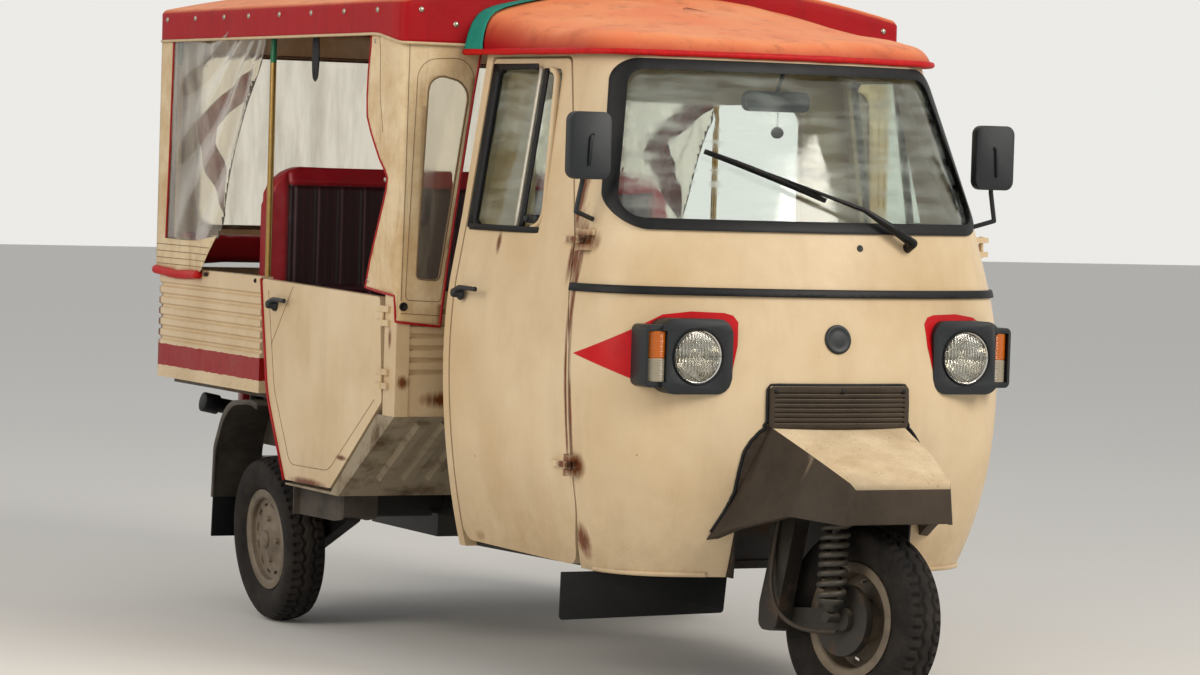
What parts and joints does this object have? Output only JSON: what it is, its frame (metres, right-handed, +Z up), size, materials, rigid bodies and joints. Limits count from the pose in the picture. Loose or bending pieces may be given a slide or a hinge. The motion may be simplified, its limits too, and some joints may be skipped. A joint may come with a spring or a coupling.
{
  "type": "auto rickshaw",
  "caption": "Three-wheeled auto rickshaw with a steel cab, a canvas-topped passenger body, opening doors and tailgate, steering and rolling wheels.",
  "frame": {"origin": "on the ground under the middle of the whole vehicle", "axes": "+Z up, the vehicle faces -Y, +X is the vehicle's own left side"},
  "size_m": [1.5236, 3.1798, 1.842],
  "materials": {
    "cream_paint": "satin",
    "glass": "clear",
    "lamp_glass": "fluted",
    "amber_plastic": "gloss",
    "black_rubber": "matt",
    "tyre_rubber": "matt",
    "rim_steel": "worn",
    "grey_plastic": "faded",
    "black_plastic": "satin",
    "dark_steel": "rusty",
    "cast_engine": "oily",
    "cable_sheath": "matt",
    "canopy_tube": "worn",
    "red_canvas": "coated canvas, sun-bleached",
    "curtain_vinyl": "coated",
    "seat_vinyl": "channelled"
  },
  "bodies": {
    "chassis": {"cab_front": "cream_paint", "cab_rear_wall": "cream_paint", "cab_roof": "cream_paint", "side_boards": "cream_paint", "headboard": "cream_paint", "footwell": "cream_paint", "bed_floor": "cream_paint", "windscreen_glass": "glass", "headlamp_lenses": "lamp_glass", "indicator_lenses": "amber_plastic", "tail_lamps": "amber_plastic", "windscreen_seal": "black_rubber", "belt_trim": "black_rubber", "mud_flaps": "black_rubber", "front_mudguard": "grey_plastic", "rear_mudguards": "grey_plastic", "lamp_housings": "black_plastic", "mirrors": "black_plastic", "wiper": "black_plastic", "dashboard": "black_plastic", "fuel_filler": "black_plastic", "chassis_frame": "dark_steel", "rear_suspension": "dark_steel", "cab_floor": "dark_steel", "engine_block": "cast_engine", "canopy_posts": "canopy_tube", "canopy_rails": "canopy_tube", "canopy_roof": "red_canvas", "cab_canvas": "red_canvas", "front_curtains": "curtain_vinyl", "rear_curtains": "curtain_vinyl", "bench_cushion": "seat_vinyl", "bench_back": "seat_vinyl", "tail_pad": "seat_vinyl", "driver_seat": "seat_vinyl"},
    "door_right": {"door_right": "cream_paint", "door_glass_right": "glass", "door_handle_right": "black_plastic"},
    "door_left": {"door_left": "cream_paint", "door_glass_left": "glass", "door_handle_left": "black_plastic"},
    "passenger_door": {"passenger_door": "cream_paint", "passenger_door_handle": "black_plastic"},
    "tailgate": {"tailgate": "cream_paint"},
    "fork": {"fork": "dark_steel", "front_link": "dark_steel", "front_shock": "dark_steel", "brake_cable": "cable_sheath"},
    "front_wheel": {"front_rim": "rim_steel", "front_tyre": "tyre_rubber"},
    "rear_wheel_right": {"rear_rim_right": "rim_steel", "rear_tyre_right": "tyre_rubber"},
    "rear_wheel_left": {"rear_rim_left": "rim_steel", "rear_tyre_left": "tyre_rubber"}
  },
  "joints": [
    {"name": "door_right_hinge", "type": "hinge", "parent": "chassis", "child": "door_right", "pos_m": [-0.601, -0.93, 0.589], "axis": [0.0269, 0, 0.9996], "range_deg": [0, 65]},
    {"name": "door_left_hinge", "type": "hinge", "parent": "chassis", "child": "door_left", "pos_m": [0.601, -0.93, 0.589], "axis": [0.0269, 0, -0.9996], "range_deg": [0, 65]},
    {"name": "passenger_door_hinge", "type": "hinge", "parent": "chassis", "child": "passenger_door", "pos_m": [-0.746, -0.112, 0.834], "axis": [0, 0, 1], "range_deg": [0, 95]},
    {"name": "tailgate_hinge", "type": "hinge", "parent": "chassis", "child": "tailgate", "pos_m": [0, 1.576, 0.644], "axis": [-1, 0, 0], "range_deg": [0, 90]},
    {"name": "steering", "type": "hinge", "parent": "chassis", "child": "fork", "pos_m": [0, -1.405, 0], "axis": [0, 0.342, 0.9397], "range_deg": [-53.8, 26.2]},
    {"name": "front_wheel_spin", "type": "hinge", "parent": "fork", "child": "front_wheel", "pos_m": [0.00919, -1.35895, 0.23586], "axis": [0.9711, 0.2241, -0.0816], "continuous": true},
    {"name": "rear_wheel_right_spin", "type": "hinge", "parent": "chassis", "child": "rear_wheel_right", "pos_m": [-0.64, 0.82, 0.23583], "axis": [0.9976, 0, 0.0698], "continuous": true},
    {"name": "rear_wheel_left_spin", "type": "hinge", "parent": "chassis", "child": "rear_wheel_left", "pos_m": [0.64, 0.82, 0.23583], "axis": [0.9976, 0, -0.0698], "continuous": true}
  ]
}
